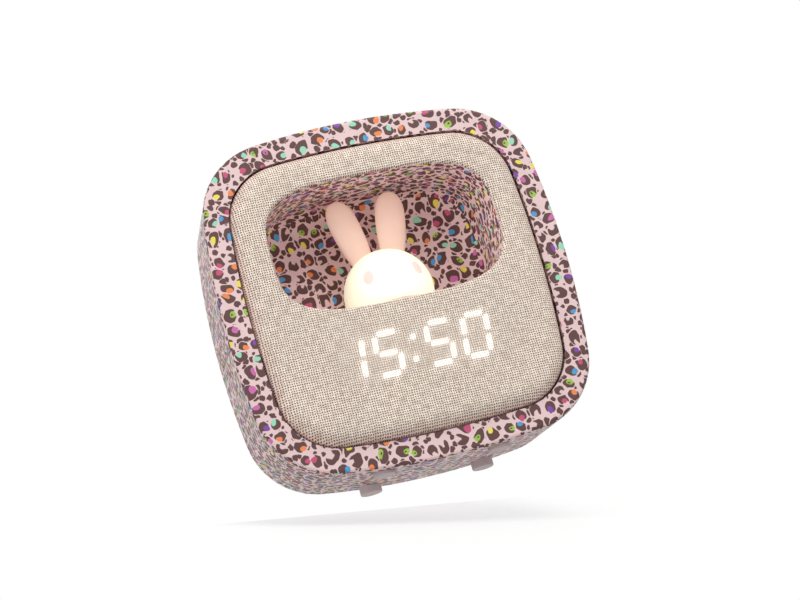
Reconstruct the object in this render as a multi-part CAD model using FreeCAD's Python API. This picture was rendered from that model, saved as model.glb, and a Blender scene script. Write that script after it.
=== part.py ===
"""Bedside alarm clock with a bunny night light, as separate fitted pieces in millimetres.

X runs to the right seen from the front, Y runs into the clock, Z is up. The origin is on the resting
plane, midway between the frontmost and rearmost points. Inside this file a place is given as x, d and z:
d is measured back from the flat rim face and z from the middle of the front.
"""

import math
import os

import FreeCAD
import Part

# Casing
HALF_WIDTH = 72.5
SIDE_RADIUS = 314.0
CORNER_RADIUS = 32.0
DEPTH = 50.0
DRAFT = 0.0545
WALL = 2.4
FRONT_EDGE = 1.5
BACK_EDGE = 6.0
INNER_BACK_EDGE = 3.5
BACK_FRAME = 10.5
BACK_FRAME_THICK = 2.6
COVER_THICK = 2.1
COVER_GAP = 0.2
COVER_EDGE = 0.5

# Feet
FOOT_X = 24.0
FOOT_R = 4.5
FOOT_FRONT = 8.0
FOOT_BACK = 12.0
FOOT_DROP = 0.4
FOOT_EDGE = 0.4

# Corner columns and their screws
COLUMN_INSET = 24.0
COLUMN_R = 4.0
COLUMN_START = 11.0
WEB = 2.4
WEB_REACH = 26.0
SCREW_R = 1.5
SCREW_LENGTH = 15.0
SCREW_HEAD_R = 3.0
SCREW_HEAD = 1.0
SCREW_SINK = 0.2
HEAD_ROOM = 0.3
BORE_SPARE = 1.0
DRIVE_SLIT = 0.35
DRIVE_REACH = 0.62

# Front panel
RIM = 10.6
INNER_SIDE_RADIUS = 400.0
INNER_CORNER_RADIUS = 25.0
SKIRT = 1.6
SKIRT_DEPTH = 8.0
PANEL_GAP = 1.0
CROWN = 4.0
CLOTH = 0.8
CLOTH_ROUND = 7.0
LIP_ROUND = 1.4
CLOTH_RETURN = 1.8
FASCIA_WALL = 1.8
FASCIA_FLANGE = 1.6
FLANGE_GAP = 0.3
COLLAR = 1.6
COLLAR_BACK = 6.0

# Recess
NICHE_SIDE = 25.0
NICHE_ROOF = 24.7
LIP_DROP = 6.4
NICHE_POWER = 3.5
NICHE_POINTS = 40
NICHE_ROUND = 8.0
NICHE_WALL = 1.6
ELECTRONICS_BAY = 14.0

# Bunny head, eyes and ears
HEAD_R = 18.5
HEAD_D = 16.5
HEAD_RISE = 7.9
HEAD_GAP = 1.2
HEAD_WALL = 2.0
HEAD_BACK_GAP = 2.5
HEAD_HEEL = 6.5
EYE_X = 10.3
EYE_Z = 4.7
EYE_HIGH = 3.0
EYE_WIDE = 2.25
EYE_DEEP = 0.8
EYE_PROUD = 0.12
EAR_X = 8.7
EAR_BACK = 2.5
EAR_RISE = 26.9
EAR_ROOF = 19.3
EAR_TILT = 11.3
EAR_FLAT = 0.42
EAR_OUTLINE = (
    (4.2, -13.0),
    (4.85, -10.0),
    (5.7, -5.0),
    (6.15, 0.0),
    (6.3, 5.0),
    (6.1, 9.0),
    (5.5, 12.0),
    (4.5, 14.4),
    (3.2, 16.0),
    (1.7, 16.8),
    (0.0, 17.0),
)

# Press guide and lamp
PIPE_R = 6.0
PIPE_CLEAR = 0.05
PIPE_EDGE = 0.5
PIPE_FLANGE_R = 9.0
PIPE_FLANGE = 1.5
PIPE_TIP = 0.5
PIPE_TAIL = 2.45
BUSH_R = 8.5
BUSH_LENGTH = 9.6
RING_R = 8.0
RING_THICK = 1.2
RING_GROOVE = 0.6
RING_GAP = 0.35
SPRING_R = 6.5
SPRING_WALL = 0.6
SPRING_SWING = 1.2
SPRING_FOLDS = 8
SPRING_GAP = 0.06
LAMP_SPACE = 4.0
LAMP_HALF = 20.0
LAMP_FRONT = 7.6
LAMP_BACK = 8.0
LAMP_POST_X = 16.0
LAMP_POST_R = 2.6
LAMP_SCREW_R = 1.0
LAMP_SCREW_HEAD_R = 2.0
LAMP_SCREW_HEAD = 1.2
LAMP_SCREW_LENGTH = 5.5
LED_HALF = 2.5
LED_BODY = 1.0
LED_LENS_R = 2.0
LED_LENS = 0.4
HALL_SIDE = 3.0
HALL_GAP = 1.4
HALL_TALL = 1.2
BOARD = 1.6

# Display
DISPLAY_X = -1.4
DISPLAY_DROP = 21.1
DIGIT_W = 9.8
DIGIT_H = 17.0
DIGIT_X = (-26.1, -10.75, 10.75, 26.1)
DOT_Z = 4.6
STROKE = 2.1
STROKE_CLIP = 0.55
STROKE_END = 1.2
STROKE_SPLIT = 1.0
SLANT = 0.1228
WINDOW_SIDE = 5.0
WINDOW_TOP = 4.0
REFLECTOR_BACK = 5.0
REFLECTOR_LIP = 2.0
SEGMENT_LENGTH = 4.7
CHIP = 1.2
CHIP_TALL = 0.7
BOARD_SIDE = 1.0

# Main board
MAIN_SPACE = 2.0
MAIN_HALF = 40.0
MAIN_LOW = -20.0
MAIN_HIGH = 34.0
POST_INSET = 5.0
POST_R = 3.0
POST_SCREW_R = 1.25
POST_SCREW_HEAD_R = 2.4
POST_SCREW_HEAD = 1.2
POST_SCREW_LENGTH = 6.4

# Keys and slider
KEY_X = (-27.0, -9.0, 9.0, 27.0)
KEY_BELOW_TOP = 10.0
KEY_R = 4.5
KEY_CLEAR = 0.05
KEY_PROUD = 1.0
KEY_EDGE = 0.5
KEY_FLANGE_R = 5.6
KEY_FLANGE = 1.1
KEY_STEM = 1.0
STOP_GAP = 0.4
KEY_AIR = 1.0
SWITCH_HALF = 3.0
SWITCH_BODY = 2.4
SWITCH_STEM_R = 1.6
SLIDER_BELOW_KEYS = 16.0
SLIDER_HALF = 2.6
SLIDER_TALL = 1.7
SLIDER_PROUD = 0.8
SLIDER_TRAVEL = 2.0
SLIDER_GAP = 0.4
SLIDER_LAP = 1.9
SLIDER_PRONG = 1.0
SLIDER_BED = 1.6
RIB_SPACING = 1.4
RIB_CUT = 0.5

# Charging port
USB_BELOW_SLIDER = 20.0
USB_HALF = 4.5
USB_TALL = 1.6
USB_SHELL = 0.4
USB_CORNER = 1.2
USB_SINK = 0.6
USB_TONGUE = 0.35
USB_GAP = 0.3

# Speaker
SPEAKER_RISE = 30.5
SPEAKER_R = 20.0
SPEAKER_RING = 2.5
SPEAKER_TALL = 4.5
SPEAKER_PLATE = 1.0
SPEAKER_HOLE_R = 6.0
MAGNET_R = 11.0
MAGNET_THICK = 6.8
MAGNET_EDGE = 0.6
CONE_THICK = 0.6
CAP_R = 5.0
SLOT_COUNT = 7
SLOT_PITCH = 4.0
SLOT_WIDE = 1.8
SLOT_FIELD_R = 15.0

# Battery
BATTERY_RISE = 18.0
BATTERY_D = 22.0
BATTERY_R = 9.1
BATTERY_LENGTH = 65.0
BATTERY_EDGE = 0.6
HOLDER_END = 3.5
HOLDER_SIDE = 1.9
HOLDER_FLOOR = 2.1
ARM_LOW = 2.0
ARM_HIGH = 8.0

# Flat leads
LEAD = 0.5
LEAD_BEND = 2.5
RIBBON_X = (14.0, 26.0)
LAMP_LEAD_X = (-8.0, -2.0)
BATTERY_LEAD_X = (28.0, 31.0)
SPEAKER_LEAD_X = (-16.0, -13.0)
LEAD_LAP = 2.0
LEAD_ROOM = 3.0

OVER = 1.0

# Places that follow from the sizes above
BOTTOM = -HALF_WIDTH
RIM_INNER = HALF_WIDTH - RIM
CLOTH_HALF = RIM_INNER - PANEL_GAP
CORE_HALF = CLOTH_HALF - CLOTH
HOLLOW_HALF = CORE_HALF - FASCIA_WALL
CLOTH_TOP = -CROWN
CORE_TOP = CLOTH_TOP + CLOTH
HOLLOW_TOP = CORE_TOP + FASCIA_WALL
COVER_IN = DEPTH - COVER_THICK
FRAME_IN = DEPTH - BACK_FRAME_THICK
OPENING_HALF = HALF_WIDTH - BACK_FRAME
SCREW_AT = HALF_WIDTH - COLUMN_INSET
NICHE_FRONT = CLOTH_TOP + CLOTH_RETURN
NICHE_BACK = DEPTH - ELECTRONICS_BAY
NICHE_A = HALF_WIDTH - NICHE_SIDE
NICHE_B = (HALF_WIDTH + LIP_DROP - NICHE_ROOF) / 2.0
NICHE_Z = (HALF_WIDTH - NICHE_ROOF - LIP_DROP) / 2.0
LIP_Z = NICHE_Z - NICHE_B
LINER_LOW = LIP_Z - NICHE_WALL
HEAD_Z = LIP_Z + HEAD_RISE
EAR_UP = min(EAR_RISE, HALF_WIDTH - NICHE_ROOF - EAR_ROOF - HEAD_Z)
HEAD_CUT = LIP_Z + HEAD_GAP
HEAD_BACK = NICHE_BACK - HEAD_BACK_GAP
BUSH_LOW = LIP_Z - BUSH_LENGTH
RING_TOP = BUSH_LOW - RING_GAP
RING_LOW = RING_TOP - RING_THICK
PIPE_LOW = RING_LOW - PIPE_TAIL
LAMP_TOP = PIPE_LOW - LAMP_SPACE
LAMP_LOW = LAMP_TOP - BOARD
DISPLAY_Z = LIP_Z - DISPLAY_DROP
MAIN_D = NICHE_BACK + NICHE_WALL + MAIN_SPACE
MAIN_REAR = MAIN_D + BOARD
KEY_Z = MAIN_HIGH - KEY_BELOW_TOP
KEY_OUT = DEPTH + KEY_PROUD
FLANGE_TOP = COVER_IN - STOP_GAP
KEY_IN = FLANGE_TOP - KEY_FLANGE - KEY_STEM
SWITCH_TOP = KEY_IN - KEY_AIR
SLIDER_Z = KEY_Z - SLIDER_BELOW_KEYS
USB_Z = SLIDER_Z - USB_BELOW_SLIDER
SPEAKER_Z = BOTTOM + SPEAKER_RISE
SPEAKER_D = COVER_IN - SPEAKER_TALL
BATTERY_Z = BOTTOM + BATTERY_RISE

REST_Z = BOTTOM - FOOT_DROP
RIM_Y = -(KEY_OUT + CLOTH_TOP) / 2.0

SIDES = ((-1, "left"), (1, "right"))
ALONG_X = FreeCAD.Vector(1, 0, 0)
ALONG_Y = FreeCAD.Vector(0, 1, 0)
ALONG_Z = FreeCAD.Vector(0, 0, 1)
CENTRE = FreeCAD.Vector(0, 0, 0)


def pt(x, d, z):
    """A place in the model from its offset to the side, its depth behind the rim and its height."""
    return FreeCAD.Vector(x, RIM_Y + d, z - REST_Z)


def box(x0, x1, d0, d1, z0, z1):
    return Part.makeBox(x1 - x0, d1 - d0, z1 - z0, pt(x0, d0, z0))


def rod_x(d, z, r, x0, x1):
    return Part.makeCylinder(r, x1 - x0, pt(x0, d, z), ALONG_X)


def rod_y(x, z, r, d0, d1):
    return Part.makeCylinder(r, d1 - d0, pt(x, d0, z), ALONG_Y)


def rod_z(x, d, r, z0, z1):
    return Part.makeCylinder(r, z1 - z0, pt(x, d, z0), ALONG_Z)


def fuse(first, *others):
    return first.fuse(list(others)).removeSplitter()


def save(name, *shapes):
    """Write the solids of the shapes as one named piece."""
    solids = [s for shape in shapes for s in shape.Solids]
    result = solids[0] if len(solids) == 1 else Part.makeCompound(solids)
    result.exportStep("parts/" + name + ".step")


def edges_at(shape, d):
    """The edges that lie flat at one depth."""
    y = RIM_Y + d
    return [e for e in shape.Edges if abs(e.BoundBox.YMin - y) < 0.01 and abs(e.BoundBox.YMax - y) < 0.01]


def lip_edges(shape, d):
    """The edges at one depth that belong to the recess, not to the panel's outline."""
    reach = (NICHE_A + CLOTH_HALF) / 2.0
    low = pt(0, 0, -reach).z
    high = pt(0, 0, reach).z
    found = [e for e in edges_at(shape, d) if e.BoundBox.XMin > -reach and e.BoundBox.XMax < reach]
    return [e for e in found if e.BoundBox.ZMin > low and e.BoundBox.ZMax < high]


def rounded_square(w, rs, rc, d):
    """Four long arcs joined by four corner arcs, all tangent, in the plane at depth d."""
    a = w - rs
    c = (a + math.sqrt(2.0 * (rs - rc) ** 2 - a * a)) / 2.0
    near = c + rc * (c - a) / (rs - rc)
    far = c + rc * c / (rs - rc)
    mid = c + rc / math.sqrt(2.0)

    def arc(p, q, r):
        return Part.Arc(pt(p[0], d, p[1]), pt(q[0], d, q[1]), pt(r[0], d, r[1])).toShape()

    edges = [
        arc((near, -far), (w, 0), (near, far)),
        arc((near, far), (mid, mid), (far, near)),
        arc((far, near), (0, w), (-far, near)),
        arc((-far, near), (-mid, mid), (-near, far)),
        arc((-near, far), (-w, 0), (-near, -far)),
        arc((-near, -far), (-mid, -mid), (-far, -near)),
        arc((-far, -near), (0, -w), (far, -near)),
        arc((far, -near), (mid, -mid), (near, -far)),
    ]
    return Part.Wire(edges)


def casing_solid(inset, d0, d1):
    """The casing's tapering outline moved in by inset, between two depths."""
    wires = []
    for d in (d0, d1):
        t = inset + DRAFT * d
        wires.append(rounded_square(HALF_WIDTH - t, SIDE_RADIUS - t, CORNER_RADIUS - t, d))
    return Part.makeLoft(wires, True, True)


def panel_solid(w, d0, d1):
    """The front panel's outline at half width w, between two depths."""
    t = RIM_INNER - w
    wire = rounded_square(w, INNER_SIDE_RADIUS - t, INNER_CORNER_RADIUS - t, d0)
    return Part.Face(wire).extrude(ALONG_Y * (d1 - d0))


def pillow(w, top, radius, back):
    solid = panel_solid(w, top, back)
    return solid.makeFillet(radius, edges_at(solid, top))


def niche_solid(grow, d0, d1):
    """The recess outline, a rounded oblong moved out by grow, between two depths."""
    points = []
    for i in range(NICHE_POINTS):
        angle = 2.0 * math.pi * (i + 0.5) / NICHE_POINTS
        c = math.cos(angle)
        s = math.sin(angle)
        x = math.copysign(abs(c) ** (2.0 / NICHE_POWER), c)
        z = math.copysign(abs(s) ** (2.0 / NICHE_POWER), s)
        nx = math.copysign(abs(x) ** (NICHE_POWER - 1.0), x) / NICHE_A
        nz = math.copysign(abs(z) ** (NICHE_POWER - 1.0), z) / NICHE_B
        n = math.hypot(nx, nz)
        points.append(pt(x * NICHE_A + grow * nx / n, d0, NICHE_Z + z * NICHE_B + grow * nz / n))
    curve = Part.BSplineCurve()
    curve.interpolate(points, PeriodicFlag=True)
    return Part.Face(Part.Wire(curve.toShape())).extrude(ALONG_Y * (d1 - d0))


def drive_cross(x, z, head_r, d0, d1):
    """The cross-shaped recess in a screw head."""
    reach = head_r * DRIVE_REACH
    flat = box(x - reach, x + reach, d0, d1, z - DRIVE_SLIT, z + DRIVE_SLIT)
    return fuse(flat, box(x - DRIVE_SLIT, x + DRIVE_SLIT, d0, d1, z - reach, z + reach))


def corners():
    return [(sx * SCREW_AT, sz * SCREW_AT) for sx in (-1, 1) for sz in (-1, 1)]


def casing_outer():
    solid = casing_solid(0.0, 0.0, DEPTH)
    solid = solid.makeFillet(BACK_EDGE, edges_at(solid, DEPTH))
    return solid.makeFillet(FRONT_EDGE, edges_at(solid, 0.0))


def make_shell(outer):
    cavity = casing_solid(WALL, WALL, FRAME_IN)
    cavity = cavity.makeFillet(INNER_BACK_EDGE, edges_at(cavity, FRAME_IN))
    shell = outer.cut(cavity)
    shell = shell.cut(panel_solid(RIM_INNER, -OVER, WALL + OVER))
    shell = shell.cut(panel_solid(OPENING_HALF, FRAME_IN - OVER, DEPTH + OVER))
    skirt = panel_solid(RIM_INNER + SKIRT, WALL / 2.0, SKIRT_DEPTH)
    skirt = skirt.cut(panel_solid(RIM_INNER, 0.0, SKIRT_DEPTH + OVER))
    mid_wall = casing_solid(WALL / 2.0, WALL / 2.0, FRAME_IN)
    additions = [skirt]
    for x, z in corners():
        web = Part.makeBox(WEB_REACH, FRAME_IN - COLUMN_START, WEB, FreeCAD.Vector(0, 0, -WEB / 2.0))
        web.rotate(CENTRE, ALONG_Y, -math.degrees(math.atan2(z, x)))
        web.translate(pt(x, COLUMN_START, z))
        additions.append(web.common(mid_wall))
        additions.append(rod_y(x, z, COLUMN_R, COLUMN_START, COVER_IN))
    shell = shell.fuse(additions)
    bore_start = DEPTH - SCREW_SINK - SCREW_LENGTH - SCREW_HEAD - BORE_SPARE
    bores = [rod_y(x, z, SCREW_R, bore_start, COVER_IN + OVER) for x, z in corners()]
    save("front_shell", shell.cut(Part.makeCompound(bores)))


def make_feet(outer):
    top = BOTTOM + WALL
    inner = casing_solid(WALL / 2.0, 0.0, DEPTH)
    for sx, side in SIDES:
        for d, row in ((FOOT_FRONT, "front"), (DEPTH - FOOT_BACK, "back")):
            pad = rod_z(sx * FOOT_X, d, FOOT_R, REST_Z, top + WALL)
            pad = pad.makeFillet(FOOT_EDGE, [e for e in pad.Edges if e.BoundBox.ZMax < 0.01])
            pad = pad.cut(outer).cut(inner)
            save("foot_" + row + "_" + side, pad)


def make_front_panel():
    cloth = pillow(CLOTH_HALF, CLOTH_TOP, CLOTH_ROUND, SKIRT_DEPTH)
    cloth = cloth.cut(niche_solid(0.0, CLOTH_TOP - OVER, SKIRT_DEPTH + OVER))
    cloth = cloth.makeFillet(LIP_ROUND, lip_edges(cloth, CLOTH_TOP))
    core = pillow(CORE_HALF, CORE_TOP, CLOTH_ROUND - CLOTH, SKIRT_DEPTH)
    core = core.cut(niche_solid(CLOTH, CORE_TOP - OVER, SKIRT_DEPTH + OVER))
    core = core.makeFillet(LIP_ROUND - CLOTH, lip_edges(core, CORE_TOP))
    cloth = cloth.cut(core).cut(niche_solid(CLOTH + 0.5, NICHE_FRONT, SKIRT_DEPTH + OVER))
    save("fabric_cover", cloth)

    hollow = pillow(HOLLOW_HALF, HOLLOW_TOP, CLOTH_ROUND - CLOTH - FASCIA_WALL, SKIRT_DEPTH + OVER)
    flange = panel_solid(RIM_INNER + SKIRT - FLANGE_GAP, SKIRT_DEPTH, SKIRT_DEPTH + FASCIA_FLANGE)
    flange = flange.cut(panel_solid(HOLLOW_HALF, SKIRT_DEPTH - OVER, SKIRT_DEPTH + FASCIA_FLANGE + OVER))
    collar = niche_solid(NICHE_WALL + COLLAR, HOLLOW_TOP, COLLAR_BACK)
    fascia = core.cut(hollow).fuse([flange, collar])
    fascia = fascia.cut(niche_solid(NICHE_WALL, NICHE_FRONT, SKIRT_DEPTH + FASCIA_FLANGE + OVER))
    x0, x1, z0, z1 = display_window()
    save("fascia_panel", fascia.cut(box(x0, x1, CLOTH_TOP, HOLLOW_TOP + OVER, z0, z1)))


def make_niche_liner():
    back = NICHE_BACK + NICHE_WALL
    outer = niche_solid(NICHE_WALL, NICHE_FRONT, back)
    outer = outer.makeFillet(NICHE_ROUND + NICHE_WALL, edges_at(outer, back))
    inner = niche_solid(0.0, NICHE_FRONT - OVER, NICHE_BACK)
    inner = inner.makeFillet(NICHE_ROUND, edges_at(inner, NICHE_BACK))
    inside_wall = LIP_Z - NICHE_WALL / 2.0
    boss = rod_z(0, HEAD_D, BUSH_R, BUSH_LOW, inside_wall)
    post_at = (-LAMP_POST_X, LAMP_POST_X)
    posts = [rod_z(x, HEAD_D, LAMP_POST_R, LAMP_TOP, inside_wall) for x in post_at]
    liner = outer.cut(inner).fuse([boss] + posts)
    cuts = [rod_z(0, HEAD_D, PIPE_R + PIPE_CLEAR, BUSH_LOW - OVER, LIP_Z + OVER)]
    bore_top = LAMP_TOP + LAMP_SCREW_LENGTH + 0.5
    cuts += [rod_z(x, HEAD_D, LAMP_SCREW_R, LAMP_TOP - OVER, bore_top) for x in post_at]
    save("niche_liner", liner.cut(Part.makeCompound(cuts)))


def head_block(inset):
    """The space that cuts the ball flat underneath and behind, with the heel between the two rounded."""
    far = 2.0 * HEAD_R
    low = HEAD_CUT + inset
    back = HEAD_BACK - inset
    block = box(-far, far, HEAD_D - far, back, low, HEAD_Z + far)
    heel = [e for e in edges_at(block, back) if e.BoundBox.ZMax < pt(0, 0, low).z + 0.01]
    return block.makeFillet(HEAD_HEEL - inset, heel)


def make_head():
    centre = pt(0, HEAD_D, HEAD_Z)
    ball = Part.makeSphere(HEAD_R, centre)
    head = ball.common(head_block(0.0))
    head = head.cut(Part.makeSphere(HEAD_R - HEAD_WALL, centre).common(head_block(HEAD_WALL)))
    head = head.cut(rod_z(0, HEAD_D, PIPE_R, HEAD_CUT - OVER, HEAD_CUT + HEAD_WALL + OVER))
    eye_y = -math.sqrt(HEAD_R**2 - EYE_X**2 - EYE_Z**2)
    for sx, side in SIDES:
        outward = FreeCAD.Vector(sx * EYE_X, eye_y, EYE_Z).normalize()
        across = ALONG_Z.cross(outward).normalize()
        upright = outward.cross(across).normalize()
        ellipse = Part.Ellipse(CENTRE, EYE_HIGH, EYE_WIDE).toShape()
        plug = Part.Face(Part.Wire(ellipse)).extrude(ALONG_Z * (HEAD_R + OVER))
        turn = FreeCAD.Rotation(upright, outward.cross(upright), outward, "ZXY")
        plug.Placement = FreeCAD.Placement(centre, turn)
        pocket = plug.cut(Part.makeSphere(HEAD_R - EYE_DEEP, centre))
        save("eye_" + side, pocket.common(Part.makeSphere(HEAD_R + EYE_PROUD, centre)))
        head = head.cut(pocket)
    save("rabbit_head", head)
    return ball


def make_ears(ball):
    points = [FreeCAD.Vector(x, 0, z) for x, z in EAR_OUTLINE]
    curve = Part.BSplineCurve()
    curve.interpolate(points)
    low = FreeCAD.Vector(0, 0, points[0].z)
    base = Part.LineSegment(low, points[0]).toShape()
    axis = Part.LineSegment(points[-1], low).toShape()
    half = Part.Face(Part.Wire([base, curve.toShape(), axis]))
    egg = half.revolve(CENTRE, ALONG_Z, 360)
    flatten = FreeCAD.Matrix()
    flatten.A22 = EAR_FLAT
    for sx, side in SIDES:
        ear = egg.transformGeometry(flatten)
        if ear.ShapeType != "Solid":
            ear = Part.Solid(Part.Shell(ear.Faces))
        ear.rotate(CENTRE, ALONG_Y, sx * EAR_TILT)
        ear.translate(pt(sx * EAR_X, HEAD_D + EAR_BACK, HEAD_Z + EAR_UP))
        save("ear_" + side, ear.cut(ball))


def make_press_guide():
    core_r = PIPE_R - RING_GROOVE
    floor = HEAD_CUT + HEAD_WALL
    flange_top = floor + PIPE_FLANGE
    pipe = rod_z(0, HEAD_D, PIPE_R, PIPE_LOW, flange_top + PIPE_TIP)
    end = pt(0, 0, PIPE_LOW).z + 0.01
    pipe = pipe.makeFillet(PIPE_EDGE, [e for e in pipe.Edges if e.BoundBox.ZMax < end])
    pipe = fuse(pipe, rod_z(0, HEAD_D, PIPE_FLANGE_R, floor, flange_top))
    core = rod_z(0, HEAD_D, core_r, RING_LOW - OVER, RING_TOP + OVER)
    save("light_pipe", pipe.cut(rod_z(0, HEAD_D, PIPE_R + OVER, RING_LOW, RING_TOP).cut(core)))
    save("retaining_ring", rod_z(0, HEAD_D, RING_R, RING_LOW, RING_TOP).cut(core))

    step = (RING_LOW - SPRING_GAP - LAMP_TOP) / SPRING_FOLDS
    inner = [(SPRING_R + SPRING_SWING * (i % 2), LAMP_TOP + step * i) for i in range(SPRING_FOLDS + 1)]
    outer = [(r + SPRING_WALL, z) for r, z in reversed(inner)]
    loop = [pt(r, HEAD_D, z) for r, z in inner + outer + inner[:1]]
    save("press_spring", Part.Face(Part.makePolygon(loop)).revolve(pt(0, HEAD_D, 0), ALONG_Z, 360))


def make_lamp():
    post_at = (-LAMP_POST_X, LAMP_POST_X)
    board = box(-LAMP_HALF, LAMP_HALF, HEAD_D - LAMP_FRONT, HEAD_D + LAMP_BACK, LAMP_LOW, LAMP_TOP)
    holes = [rod_z(x, HEAD_D, LAMP_SCREW_R, LAMP_LOW - OVER, LAMP_TOP + OVER) for x in post_at]
    save("lamp_board", board.cut(Part.makeCompound(holes)))
    body_top = LAMP_TOP + LED_BODY
    body = box(-LED_HALF, LED_HALF, HEAD_D - LED_HALF, HEAD_D + LED_HALF, LAMP_TOP, body_top)
    save("lamp_led", fuse(body, rod_z(0, HEAD_D, LED_LENS_R, body_top, body_top + LED_LENS)))
    x0 = RING_R + HALL_GAP
    d0 = HEAD_D - HALL_SIDE / 2.0
    save("hall_sensor", box(x0, x0 + HALL_SIDE, d0, d0 + HALL_SIDE, LAMP_TOP, LAMP_TOP + HALL_TALL))
    screws = []
    for x in post_at:
        low = LAMP_LOW - LAMP_SCREW_HEAD
        middle = low + LAMP_SCREW_HEAD / 2.0
        shank = rod_z(x, HEAD_D, LAMP_SCREW_R, middle, LAMP_TOP + LAMP_SCREW_LENGTH)
        head = rod_z(x, HEAD_D, LAMP_SCREW_HEAD_R, low, LAMP_LOW)
        reach = LAMP_SCREW_HEAD_R * DRIVE_REACH
        slot = box(x - reach, x + reach, HEAD_D - DRIVE_SLIT, HEAD_D + DRIVE_SLIT, low - OVER, middle)
        screws.append(fuse(shank, head).cut(slot))
    save("lamp_screws", *screws)


def bar(x0, z0, x1, z1, d0, d1):
    """One display segment: a bar with clipped ends between two points, leaned over with the digits."""
    length = math.hypot(x1 - x0, z1 - z0)
    ux = (x1 - x0) / length
    uz = (z1 - z0) / length
    h = STROKE / 2.0
    c = STROKE_CLIP
    near = [(0, c - h), (0, h - c), (c, h)]
    far = [(length - c, h), (length, h - c), (length, c - h)]
    points = []
    for along, side in near + far + [(length - c, -h), (c, -h)]:
        x = x0 + ux * along - uz * side
        z = z0 + uz * along + ux * side
        points.append(pt(DISPLAY_X + x + SLANT * z, d0, DISPLAY_Z + z))
    points.append(points[0])
    return Part.Face(Part.makePolygon(points)).extrude(ALONG_Y * (d1 - d0))


def digit_bars(cx, d0, d1):
    w = DIGIT_W / 2.0
    h = DIGIT_H / 2.0
    e = STROKE_END
    s = STROKE_SPLIT
    bars = [bar(cx - w + e, z, cx + w - e, z, d0, d1) for z in (h, 0.0, -h)]
    for x in (cx - w, cx + w):
        bars.append(bar(x, s, x, h - e, d0, d1))
        bars.append(bar(x, -s, x, e - h, d0, d1))
    return bars


def colon_bars(d0, d1):
    h = STROKE / 2.0
    return [bar(-h, z, h, z, d0, d1) for z in (DOT_Z, -DOT_Z)]


def display_window():
    """The opening in the fascia behind the digits, as its sides, bottom and top."""
    half = max(DIGIT_X) + DIGIT_W / 2.0 + WINDOW_SIDE
    tall = DIGIT_H / 2.0 + WINDOW_TOP
    return DISPLAY_X - half, DISPLAY_X + half, DISPLAY_Z - tall, DISPLAY_Z + tall


def make_display():
    x0, x1, z0, z1 = display_window()
    names = ("digit_hours_tens", "digit_hours_ones", "digit_minutes_tens", "digit_minutes_ones")
    end = CORE_TOP + SEGMENT_LENGTH
    holes = colon_bars(CORE_TOP - OVER, REFLECTOR_BACK + OVER)
    for cx, name in zip(DIGIT_X, names):
        save(name, *digit_bars(cx, CORE_TOP, end))
        holes += digit_bars(cx, CORE_TOP - OVER, REFLECTOR_BACK + OVER)
    save("colon_dots", *colon_bars(CORE_TOP, end))
    lip = REFLECTOR_LIP
    block = box(x0, x1, CORE_TOP, REFLECTOR_BACK, z0, z1)
    block = fuse(block, box(x0 - lip, x1 + lip, HOLLOW_TOP, HOLLOW_TOP + lip, z0 - lip, z1 + lip))
    save("display_reflector", block.cut(Part.makeCompound(holes)))
    chips = []
    for hole in holes:
        middle = hole.BoundBox.Center
        y = RIM_Y + REFLECTOR_BACK - CHIP_TALL
        corner = FreeCAD.Vector(middle.x - CHIP / 2.0, y, middle.z - CHIP / 2.0)
        chips.append(Part.makeBox(CHIP, CHIP_TALL, CHIP, corner))
    save("display_leds", *chips)
    side = BOARD_SIDE
    end = REFLECTOR_BACK + BOARD
    save("display_board", box(x0 - side, x1 + side, REFLECTOR_BACK, end, z0 - side, z1 + side))


def board_posts():
    return [(x, z) for x in (POST_INSET - MAIN_HALF, MAIN_HALF - POST_INSET)
            for z in (MAIN_LOW + POST_INSET, MAIN_HIGH - POST_INSET)]


def cover_cuts():
    """Everything that is cut through the back plate."""
    start = COVER_IN - OVER
    end = DEPTH + OVER
    cuts = [rod_y(x, KEY_Z, KEY_R + KEY_CLEAR, start, end) for x in KEY_X]
    cuts += [rod_y(x, z, POST_SCREW_R, MAIN_D, MAIN_D + POST_SCREW_LENGTH + 0.5) for x, z in board_posts()]
    half = SLIDER_HALF + SLIDER_TRAVEL + SLIDER_GAP + OVER / 2.0
    tall = SLIDER_TALL + SLIDER_GAP
    cuts.append(box(-half, half, start, end, SLIDER_Z - tall, SLIDER_Z + tall))
    tall = USB_TALL + USB_GAP
    half = USB_HALF + USB_GAP - tall
    cuts.append(box(-half, half, start, end, USB_Z - tall, USB_Z + tall))
    cuts += [rod_y(x, USB_Z, tall, start, end) for x in (-half, half)]
    for i in range(SLOT_COUNT):
        rise = SLOT_PITCH * (i - (SLOT_COUNT - 1) / 2.0)
        reach = math.sqrt(SLOT_FIELD_R**2 - rise**2)
        z = SPEAKER_Z + rise
        cuts.append(box(-reach, reach, start, end, z - SLOT_WIDE / 2.0, z + SLOT_WIDE / 2.0))
    sink = DEPTH - SCREW_HEAD - SCREW_SINK
    for x, z in corners():
        cuts.append(rod_y(x, z, SCREW_R, start, end))
        cuts.append(rod_y(x, z, SCREW_HEAD_R + HEAD_ROOM, sink, end))
    return cuts


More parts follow.
